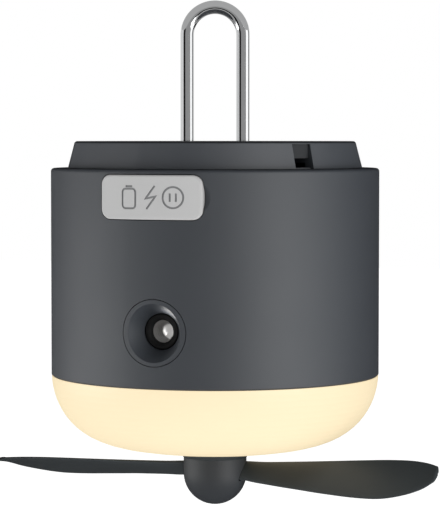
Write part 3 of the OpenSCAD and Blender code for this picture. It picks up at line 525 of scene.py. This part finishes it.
looks["copper_wire"] = patterned(
    "copper_wire", ("ShaderNodeTexWave", {"bands_direction": "Z"}, {"Scale": 600.0, "Distortion": 0.6}),
    light(120, 66, 38), light(196, 122, 84), 0.12, 0.3, metallic=1.0)
looks["circuit_board"] = patterned(
    "circuit_board", ("ShaderNodeTexBrick", {"offset": 0.3, "squash": 0.6},
                      {"Scale": 160.0, "Mortar Size": 0.06, "Brick Width": 0.8}),
    light(20, 74, 48), light(38, 108, 72), 0.03, 0.35)
looks["battery_wrap"] = patterned(
    "battery_wrap", ("ShaderNodeTexNoise", {}, {"Scale": 90.0, "Detail": 4.0, "Distortion": 1.5}),
    light(28, 66, 128), light(48, 96, 164), 0.15, 0.28)
looks["led_phosphor"] = patterned(
    "led_phosphor", ("ShaderNodeTexVoronoi", {}, {"Scale": 1500.0}),
    light(240, 196, 84), light(255, 226, 140), 0.02, 0.4, emission=0.9)
print("looks:", len(looks))

# %% [markdown]
# ## Dressing the engineering solids
# Most solids are already the right shape. Each takes the material of its slot in the record. The
# top cap and the nose are slate plastic too, each with its own mix of tone and gloss: the cap is
# paler as painted light, and the nose is a little darker and less glossy than the body.

# %% Materials on the solids
for entry in frame["record"]["subparts"]:
    solid = frame["nodes"][entry["node"]]
    solid.data.materials.clear()
    solid.data.materials.append(looks[entry["material_slot"]])
frame["nodes"]["top_cap"].data.materials[0] = looks["cap_plastic"]
frame["nodes"]["nose_cap"].data.materials[0] = looks["nose_plastic"]

# %% [markdown]
# ## Building shapes from points
# The next pieces are made point by point in millimetres. These helpers join rings of points into a
# skin, put several skins together, and turn them into an object. Faces are smooth, except across
# edges that turn by more than a set angle.

# %% Mesh helpers
def build(name, points, faces, look, body=None, sharp=35, slot=None):
    """An object from points in millimetres. It rides on body, if that is given."""
    mesh = bpy.data.meshes.new(name)
    mesh.from_pydata([(x * MM, y * MM, z * MM) for x, y, z in points], [], faces)
    work = bmesh.new()
    work.from_mesh(mesh)
    bmesh.ops.remove_doubles(work, verts=work.verts, dist=1e-7)
    bmesh.ops.recalc_face_normals(work, faces=work.faces)
    work.to_mesh(mesh)
    work.free()
    mesh.polygons.foreach_set("use_smooth", [True] * len(mesh.polygons))
    mesh.set_sharp_from_angle(angle=math.radians(sharp))
    mesh.materials.append(looks[look])
    piece = bpy.data.objects.new(name, mesh)
    bpy.context.collection.objects.link(piece)
    if body:
        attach(piece, body)
    return piece

def skin_rings(rings, capped=True):
    """Joins closed rings of points, each as long as the next, into one skin."""
    count = len(rings[0])
    points = [p for ring in rings for p in ring]
    faces = []
    for r in range(len(rings) - 1):
        here, there = r * count, (r + 1) * count
        for k in range(count):
            after = (k + 1) % count
            faces.append((here + k, here + after, there + after, there + k))
    if capped:
        faces += [tuple(range(count)), tuple(range(len(points) - count, len(points)))]
    return points, faces

def joined(skins):
    """Puts several (points, faces) pairs together into one."""
    points, faces = [], []
    for more_points, more_faces in skins:
        start = len(points)
        points += more_points
        faces += [tuple(start + v for v in face) for face in more_faces]
    return points, faces

def turned_form(profile, steps=96):
    """A form turned about the fan's axis from (radius, height) points."""
    turns = [2 * math.pi * k / steps for k in range(steps)]
    rings = [[(r * math.cos(t), r * math.sin(t), z) for t in turns] for r, z in profile]
    return skin_rings(rings, capped=False)

print("mesh helpers ready")

# %% [markdown]
# ## Fan blades
# Each blade is a twisted paddle. It is steep and narrow at the root, broadest three quarters of
# the way out, and rounded at the tip. Stations along it hold the pitch and how far both edges
# reach from the blade's middle line, and a smooth curve runs between them. A section is a thin
# ellipse with an arched back, and the last sections shrink to round the tip.

# %% Blade sections
FAN_R, BLADE_Z, BLADE_TURN = 68.7, 11.6, 10.2
STATIONS = [6.2, 10, 16, 25, 35, 45, 53, 60, 65, 68]
PITCH = [38, 36, 26, 20.7, 19, 18.5, 17.8, 16, 13.5, 9]
RAISED = [2.4, 2.4, 2.8, 4, 5.3, 6.5, 7.4, 7.7, 6.7, 5.2]
LOWERED = [5.6, 5.8, 8.8, 12.6, 16, 18.4, 19.1, 17.2, 13.9, 10.4]
TIP = [(0, 1), (0.25, 0.89), (0.45, 0.76), (0.65, 0.60), (0.8, 0.45), (0.92, 0.28), (0.985, 0.14)]
ROOT_HALF_T, THINNING, ARCH = 1.15, 0.5, 0.5
TIP_HALF_T, EDGE_HALF_T = 0.62, 0.05
STEPS_BETWEEN = 7

def along(values, i, t):
    """A value between station i and the next, on a smooth curve through all of them."""
    last = len(values) - 1
    a, b, c, d = values[max(i - 1, 0)], values[i], values[min(i + 1, last)], values[min(i + 2, last)]
    square = a - 2.5 * b + 2 * c - d / 2
    cube = 1.5 * b - 1.5 * c + d / 2 - a / 2
    return b + (c - a) / 2 * t + square * t ** 2 + cube * t ** 3

def blade_section(r, pitch, raised, lowered, half_t, count=40):
    tilt = math.radians(pitch)
    ring = []
    for k in range(count):
        a = 2 * math.pi * k / count
        across = (raised - lowered) / 2 + (raised + lowered) / 2 * math.cos(a)
        up = half_t * math.sin(a) + ARCH * math.sin(a) ** 2
        ring.append((r, across * math.cos(tilt) - up * math.sin(tilt),
                     BLADE_Z + across * math.sin(tilt) + up * math.cos(tilt)))
    return ring

sections = []
for i in range(len(STATIONS) - 1):
    for t in (step / STEPS_BETWEEN for step in range(STEPS_BETWEEN)):
        r, pitch, raised, lowered = (along(values, i, t) for values in (STATIONS, PITCH, RAISED, LOWERED))
        half_t = ROOT_HALF_T - THINNING * (r - STATIONS[0]) / FAN_R
        sections.append(blade_section(r, pitch, raised, lowered, half_t))
middle = (RAISED[-1] - LOWERED[-1]) / 2
for reach, share in TIP:
    half = (RAISED[-1] + LOWERED[-1]) / 2 * share
    r = STATIONS[-1] + reach * (FAN_R - STATIONS[-1])
    sections.append(blade_section(r, PITCH[-1], middle + half, half - middle,
                                  TIP_HALF_T * share + EDGE_HALF_T))
print("blade sections:", len(sections))

# %% [markdown]
# The two blades grow out of one hub, which is turned, with a flange above the nose. The fan comes
# out of one mould, so the three skins become one piece.

# %% Blades and their hub
HUB_BORE_R, HUB_R, HUB_LOW, HUB_HIGH = 2.95, 6.9, 6.0, 15.7
FLANGE_R, FLANGE_LOW, FLANGE_HIGH = 9.9, 14.6, 16.2

def spun(points, turn_deg):
    c, s = math.cos(math.radians(turn_deg)), math.sin(math.radians(turn_deg))
    return [(x * c - y * s, x * s + y * c, z) for x, y, z in points]

hub = [(HUB_BORE_R, HUB_HIGH), (HUB_R, HUB_HIGH), (HUB_R, FLANGE_HIGH - 0.2), (HUB_R + 0.2, FLANGE_HIGH),
       (FLANGE_R - 0.3, FLANGE_HIGH), (FLANGE_R, FLANGE_HIGH - 0.25), (FLANGE_R, FLANGE_LOW + 0.15),
       (FLANGE_R - 0.15, FLANGE_LOW), (HUB_R + 0.4, FLANGE_LOW), (HUB_R, FLANGE_LOW - 0.4),
       (HUB_R, HUB_LOW), (HUB_BORE_R, HUB_LOW), (HUB_BORE_R, HUB_HIGH)]
blade_points, blade_faces = skin_rings(sections)
blades = [(spun(blade_points, BLADE_TURN + half_turn), blade_faces) for half_turn in (0, 180)]
fan = build("fan_blades", *joined(blades + [turned_form(hub)]), "fan_plastic", "rotor", sharp=50)
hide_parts("propeller")
print("fan blades:", len(fan.data.polygons), "faces")

# %% [markdown]
# ## Port cover
# The pale silicone cover follows the round body. It is a skin with a softly rounded rim, built
# from rings that shrink from the outline to a short line in the middle. Its corners are round,
# and its right end is slightly bowed, so that a finger in the scoop can lift it.

# %% Port cover shape
cover_low, cover_high = box_mm("port_cover")
COVER_LEFT, COVER_RIGHT = cover_low[X], cover_high[X]
COVER_Z, COVER_HALF = middle_mm("port_cover", Z), (cover_high[Z] - cover_low[Z]) / 2
COVER_IN = BODY_R - 1.85
COVER_CORNER, COVER_RIM, BACK_EDGE, BOW_R = 3.0, 0.6, 0.25, 50
CORNER_STEPS, LONG_STEPS, END_STEPS = 10, 40, 10
SPINE_LEFT, SPINE_RIGHT = -9.0, 7.0
QUARTERS = ((1, 1, 0), (-1, 1, 90), (-1, -1, 180), (1, -1, 270))  # side, end and first turn of a corner

def rounded_box(cx, cz, half_w, half_h, r, steps, inset=0):
    """The four corners of a box with round corners, each a list of points, moved in by inset."""
    return [[(cx + sx * (half_w - r) + (r - inset) * math.cos(math.radians(first + 90 * k / steps)),
              cz + sz * (half_h - r) + (r - inset) * math.sin(math.radians(first + 90 * k / steps)))
             for k in range(steps + 1)] for sx, sz, first in QUARTERS]

def cover_outline(inset):
    """Outline in the plane of the front, moved inward by inset."""
    middle, half_w = (COVER_LEFT + COVER_RIGHT) / 2, (COVER_RIGHT - COVER_LEFT) / 2
    corners = rounded_box(middle, 0, half_w, COVER_HALF, COVER_CORNER, CORNER_STEPS, inset)
    ring = []
    for i, corner in enumerate(corners):
        (x1, z1), (x2, z2) = corner[-1], corners[(i + 1) % 4][0]
        steps = LONG_STEPS if i % 2 == 0 else END_STEPS
        ring += corner + [(x1 + (x2 - x1) * k / steps, z1 + (z2 - z1) * k / steps) for k in range(1, steps)]
    bow = COVER_RIGHT - BOW_R
    return [(min(x, bow + math.sqrt((BOW_R - inset) ** 2 - z * z)), z) for x, z in ring]

def on_body(x, z, radius):
    return (x, -math.sqrt(radius ** 2 - x ** 2), COVER_Z + z)

def toward_spine(share, inset, radius):
    """The outline drawn in toward the cover's middle line, to share of its distance from it."""
    return [on_body(x * share + (1 - share) * max(SPINE_LEFT, min(SPINE_RIGHT, x)), z * share, radius)
            for x, z in cover_outline(inset)]

rings = [toward_spine(share, BACK_EDGE, COVER_IN) for share in (0.0, 0.35, 0.7, 1.0)]
rings.append([on_body(x, z, COVER_IN + BACK_EDGE) for x, z in cover_outline(0)])
for a in (math.radians(15 * step) for step in range(7)):
    radius = PROUD_R - COVER_RIM + COVER_RIM * math.sin(a)
    rings.append([on_body(x, z, radius) for x, z in cover_outline(COVER_RIM - COVER_RIM * math.cos(a))])
for share in (0.94, 0.82, 0.68, 0.54, 0.40, 0.26, 0.12, 0.0):
    rings.append(toward_spine(share, COVER_RIM, PROUD_R))
cover = build("cover_blank", *skin_rings(rings, capped=False), "pale_silicone")
print("cover faces:", len(cover.data.polygons))

# %% [markdown]
# The cover carries three plain sunk marks of its own: a battery, a spark and a socket. Each mark
# is made of lines of one width, drawn in the plane of the front. A solid that is thick enough to
# reach into the cover follows each line, so that the marks can be cut to a real depth.

# %% Lines of one width
MITRE_LIMIT = 0.45

def line_solid(path, width, low, high, closed):
    """A band of one width along a path of (x, z) points, from one radius to another."""
    n = len(path)
    left, right = [], []
    for i, (x, z) in enumerate(path):
        before = path[(i - 1) % n] if closed or i else path[i]
        after = path[(i + 1) % n] if closed or i < n - 1 else path[i]
        come = Vector((x - before[0], z - before[1]))
        leave = Vector((after[0] - x, after[1] - z))
        come = come.normalized() if come.length else leave.normalized()
        leave = leave.normalized() if leave.length else come
        along_line = (come + leave).normalized()
        reach = width / 2 / max(MITRE_LIMIT, along_line.dot(come))
        side = Vector((-along_line.y, along_line.x)) * reach
        end = Vector((0, 0)) if closed or 0 < i < n - 1 else along_line * (width / 2 if i else -width / 2)
        left.append((x + side.x + end.x, z + side.y + end.y))
        right.append((x - side.x + end.x, z - side.y + end.y))
    rings = [[on_body(*l, low), on_body(*l, high), on_body(*r, high), on_body(*r, low)]
             for l, r in zip(left, right)]
    if closed:
        rings.append(rings[0])
    return skin_rings(rings, capped=not closed)

def fine_path(points, closed, step=0.6):
    """Adds points along long straight stretches, so that a line can follow the round body."""
    path = []
    ends = points[1:] + points[:1] if closed else points[1:]
    for (x1, z1), (x2, z2) in zip(points, ends):
        parts = max(1, int(math.hypot(x2 - x1, z2 - z1) / step))
        path += [(x1 + (x2 - x1) * k / parts, z1 + (z2 - z1) * k / parts) for k in range(parts)]
    return path if closed else path + [points[-1]]

print("line helpers ready")

# %% Sunk marks
STROKE, SUNK, CLEAR = 0.56, 0.22, 1.0
BATTERY_X, SPARK_X, OUTLET_X = -7.4, -0.5, 6.2
OUTLET_R, PIN_X, PIN_HALF = 3.0, 0.9, 0.9

battery_case = sum(rounded_box(BATTERY_X, -0.35, 2.1, 2.8, 1.0, 6), [])
battery_cap = [(BATTERY_X - 0.8, 3.15), (BATTERY_X + 0.8, 3.15)]
spark = [(SPARK_X + x, z) for x, z in ((1.1, 3.1), (-1.5, -0.3), (1.5, 0.3), (-1.1, -3.1))]
outlet_rim = sum(rounded_box(OUTLET_X, 0, OUTLET_R, OUTLET_R, OUTLET_R - 0.02, 11), [])
pins = [[(OUTLET_X + x, PIN_HALF), (OUTLET_X + x, -PIN_HALF)] for x in (-PIN_X, PIN_X)]
marks = [(battery_case, True), (battery_cap, False), (spark, False), (outlet_rim, True)]
marks += [(pin, False) for pin in pins]
mark_skins = [line_solid(fine_path(path, closed), STROKE, PROUD_R - SUNK, PROUD_R + CLEAR, closed)
              for path, closed in marks]
cutter = build("mark_cutter", *joined(mark_skins), "sunk_mark")
print("mark lines:", len(marks))

# %% [markdown]
# A Boolean modifier cuts the marks out of the cover and gives their walls and floors a material of
# their own. On the cover's back sits a softly edged plug that pushes into the wider port and
# keeps the cover shut.

# %% Cutting the marks and adding the plug
PLUG_MIDDLE, PLUG_SIZE, PLUG_EDGE = (4.4, -46.45, 93.9), (10.6, 2.1, 1.9), 0.3

cut = cover.modifiers.new("marks", "BOOLEAN")
cut.operation, cut.object, cut.solver, cut.material_mode = "DIFFERENCE", cutter, "EXACT", "TRANSFER"
cut.use_self = True
ready = bpy.data.meshes.new_from_object(cover.evaluated_get(bpy.context.evaluated_depsgraph_get()))
print("marked cover:", len(ready.polygons), "faces,", [m.name for m in ready.materials])
for spare in (cover, cutter):
    bpy.data.objects.remove(spare)
work = bmesh.new()
work.from_mesh(ready)
block = bmesh.ops.create_cube(work, size=1)["verts"]
for v in block:
    v.co = Vector([m + share * s for m, share, s in zip(PLUG_MIDDLE, v.co, PLUG_SIZE)]) * MM
block_edges = list({edge for v in block for edge in v.link_edges})
bmesh.ops.bevel(work, geom=block_edges, offset=PLUG_EDGE * MM, segments=3, affect="EDGES", profile=0.5)
work.to_mesh(ready)
work.free()
ready.polygons.foreach_set("use_smooth", [True] * len(ready.polygons))
ready.set_sharp_from_angle(angle=math.radians(35))
cover = bpy.data.objects.new("silicone_cover", ready)
bpy.context.collection.objects.link(cover)
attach(cover, "port_cover")
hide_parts("port_cover")
print("cover size:", [round(v / MM, 2) for v in cover.dimensions])

# %% [markdown]
# ## Threaded bush
# The steel bush behind the tripod socket has a quarter-inch thread, 20 turns to the inch, and a
# blind end. Its bore is a sleeve of points whose radius rises and falls as it winds inward, which
# makes one unbroken helical groove. The outside and the countersunk mouth are turned rings.

# %% Threaded bush
THREAD_PITCH, THREAD_DEEP, STEPS_PER_TURN = 25.4 / 20, 0.5, 12
FLANK, CREST = 2.6, 0.3  # how fast the groove's sides fall, and how much of it stays a flat crest
BORE_R = next(m["dims"]["r_mm"] for m in frame["record"]["mounts"] if m["name"] == "tripod_socket")
BORE_FLOOR = 13.8  # depths are counted from the front of the body
bush_low, bush_high = box_mm("tripod_bush")
BUSH_R, BUSH_MOUTH, BUSH_BACK = bush_high[X], BODY_R + bush_low[Y], BODY_R + bush_high[Y]
MOUTH_R, SINK_R, SINK_END, BUSH_EDGE = 3.45, 3.35, BUSH_MOUTH + 1.2, 0.25
POINT_R = 0.01  # a ring this small closes a turned face in its middle

def socket_point(r, turn, depth):
    """A point about the socket's axis, at a depth behind the front of the body."""
    return (r * math.cos(turn), -BODY_R + depth, SOCKET_Z + r * math.sin(turn))

def bore_radius(turn, depth):
    phase = (depth / THREAD_PITCH + turn / (2 * math.pi)) % 1.0
    groove = min(1.0, max(0.0, abs(phase - 0.5) * FLANK - CREST))
    sink = min(1.0, max(0.0, SINK_END - depth))
    return max(BORE_R + THREAD_DEEP * groove, BORE_R + (SINK_R - BORE_R) * sink)

BUSH_STEPS = 72
turns = [2 * math.pi * k / BUSH_STEPS for k in range(BUSH_STEPS)]
outside = [(POINT_R, BUSH_BACK), (BUSH_R, BUSH_BACK), (BUSH_R, BUSH_MOUTH + BUSH_EDGE),
           (BUSH_R - BUSH_EDGE, BUSH_MOUTH), (MOUTH_R, BUSH_MOUTH)]
rings = [[socket_point(r, t, depth) for t in turns] for r, depth in outside]
depth = BUSH_MOUTH + 0.15
while depth < BORE_FLOOR - 0.2:  # the sleeve starts just inside the mouth and ends just before the floor
    rings.append([socket_point(bore_radius(t, depth), t, depth) for t in turns])
    depth += THREAD_PITCH / STEPS_PER_TURN
rings += [[socket_point(r, t, BORE_FLOOR) for t in turns] for r in (BORE_R, BORE_R / 2, POINT_R)]
bush = build("threaded_bush", *skin_rings(rings), "bright_steel", "housing", sharp=60)
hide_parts("tripod_bush")
mirror.objects.link(bush)
print("bush faces:", len(bush.data.polygons))

# %% [markdown]
# ## Marks on the buttons
# The two buttons at the back are told apart by feel: a small three-blade mark for the fan and a
# lamp for the light. They stand a tenth of a millimetre out of the button, as moulded marks do.

# %% Outlines of the button marks
PETAL_MIDDLE, PETAL_HALF, PETAL_WIDE = 2.35, 1.35, 0.95
RAY_START, RAY_END, RAY_HALF = 2.75, 3.7, 0.22

def ring_outline(r, count=32):
    return [(r * math.cos(2 * math.pi * k / count), r * math.sin(2 * math.pi * k / count))
            for k in range(count)]

def turned_outline(points, turn_deg):
    return [(x, z) for x, z, _ in spun([(x, z, 0) for x, z in points], turn_deg)]

def petal(turn_deg, count=28):
    """A leaf that is wider outward and bends a little to one side."""
    outline = []
    for a in (2 * math.pi * k / count for k in range(count)):
        out = PETAL_MIDDLE + PETAL_HALF * math.cos(a)
        across = PETAL_WIDE * math.sin(a) * (1.15 + 0.35 * math.cos(a))
        outline.append((out, across + 0.12 * out ** 2 - 0.5))
    return turned_outline(outline, turn_deg)

def ray(turn_deg):
    corners = [(RAY_START, RAY_HALF), (RAY_START, -RAY_HALF), (RAY_END, -RAY_HALF), (RAY_END, RAY_HALF)]
    return turned_outline(corners, turn_deg)

fan_outlines = [petal(90), petal(210), petal(330), ring_outline(0.6)]
lamp_outlines = [ring_outline(1.9)] + [ray(turn_deg) for turn_deg in range(0, 360, 45)]
print("outlines:", len(fan_outlines), "and", len(lamp_outlines))

# %% Button marks
MARK_FOOT, MARK_TOP, MARK_TAPER = -0.15, 0.10, 0.985

def raised_mark(name, outlines, button):
    """Raises outlines of (x, z) points off the face of a button, from just inside it."""
    middle = middle_mm(button, Z)
    skins = [skin_rings([[(x * taper, PROUD_R + height, middle + z * taper) for x, z in outline]
                         for taper, height in ((1.0, MARK_FOOT), (MARK_TAPER, MARK_TOP))])
             for outline in outlines]
    return build(name, *joined(skins), "black_plastic", button, sharp=30)

raised_mark("fan_mark", fan_outlines, "fan_button")
raised_mark("lamp_mark", lamp_outlines, "lamp_button")
print("button marks: 2")

# %% [markdown]
# ## Contacts in the ports
# When the cover is open, gold contacts show on both tongues. They are thin raised strips with
# slanted front ends, four wide ones under the larger tongue and six fine ones on each side of the
# smaller.

# %% Port contacts
WIDE_PORT_X = middle_mm("usb_a_tongue", X)
FINE_PORT_X, FINE_PORT_Z = middle_mm("usb_c_tongue", X), middle_mm("usb_c_tongue", Z)
WIDE_TONGUE_Z, FINE_TONGUE_HALF = 95.45, 0.34
WIDE_W, WIDE_THICK, WIDE_FRONT, WIDE_BACK = 1.1, 0.12, -45.0, -35.5
FINE_W, FINE_THICK, FINE_FRONT, FINE_BACK = 0.28, 0.06, -45.4, -40.6
SLANT = 0.3

def strip(x, width, front, back, z, thick):
    """A contact strip on a tongue. Its thickness is below zero where it hangs under the tongue."""
    left, right = x - width / 2, x + width / 2
    foot, top = ([(left, y, height), (right, y, height), (right, back, height), (left, back, height)]
                 for y, height in ((front + SLANT, z), (front, z + thick)))
    return skin_rings([foot, top])

strips = [strip(WIDE_PORT_X + dx, WIDE_W, WIDE_FRONT, WIDE_BACK, WIDE_TONGUE_Z, -WIDE_THICK)
          for dx in (-3.5, -1.0, 1.0, 3.5)]
for side in (1, -1):
    face = FINE_PORT_Z + side * FINE_TONGUE_HALF
    strips += [strip(FINE_PORT_X + dx, FINE_W, FINE_FRONT, FINE_BACK, face, side * FINE_THICK)
               for dx in (-2.75, -1.75, -0.75, 0.75, 1.75, 2.75)]
build("port_contacts", *joined(strips), "gold_contact", "housing", slot="brass_bush")
print("contacts:", len(strips))

# %% [markdown]
# ## Lamps for single pieces
# The socket is deep and narrow, and the soft boxes hardly reach its bright bush or make the pale
# crescent in its bowl. The well in the cap and the blades' upper sides are a little too dark as
# well. Light linking lets a lamp light only the pieces it is given, as a photographer would aim a
# shaded lamp at them, so each of these four places has a lamp of its own.

# %% Linked lamps
def linked_lamp(name, place, aim, size, brightness, receivers):
    lamp = area_lamp(name, place, aim, size, size, brightness)
    group = bpy.data.collections.new(name + "_pieces")
    for piece in receivers:
        group.objects.link(piece)
    lamp.light_linking.receiver_collection = group
    return lamp

SOCKET_MIDDLE = Vector((0, -45, SOCKET_Z)) * MM  # the two large lamps can face it too
BOWL_LAMP_AT, BOWL_WALL = Vector((2.4, -46.8, 60.4)) * MM, Vector((4.8, -44.5, 64.0)) * MM
WELL_PIECES = [frame["nodes"][node] for node in ("top_cap", "cap_screws", "bail_block", "bail_screw")]

linked_lamp("bush_lamp", around(-21, 0.40, 0.120), SOCKET_MIDDLE, 0.04, 105.0, [bush])
bowl_lamp = linked_lamp("bowl_lamp", BOWL_LAMP_AT, BOWL_WALL, 0.003, 9.0, [frame["nodes"]["tripod_bezel"]])
bowl_lamp.data.color = (1.0, 0.97, 0.93)
linked_lamp("deck_lamp", Vector((0, 0.25, 0.65)), SOCKET_MIDDLE, 0.40, 3.0, WELL_PIECES)
linked_lamp("blade_lamp", around(70, 0.60, 0.75), SOCKET_MIDDLE, 0.30, 12.0, [fan])
print("lamps:", [lamp.name for lamp in bpy.data.lights])
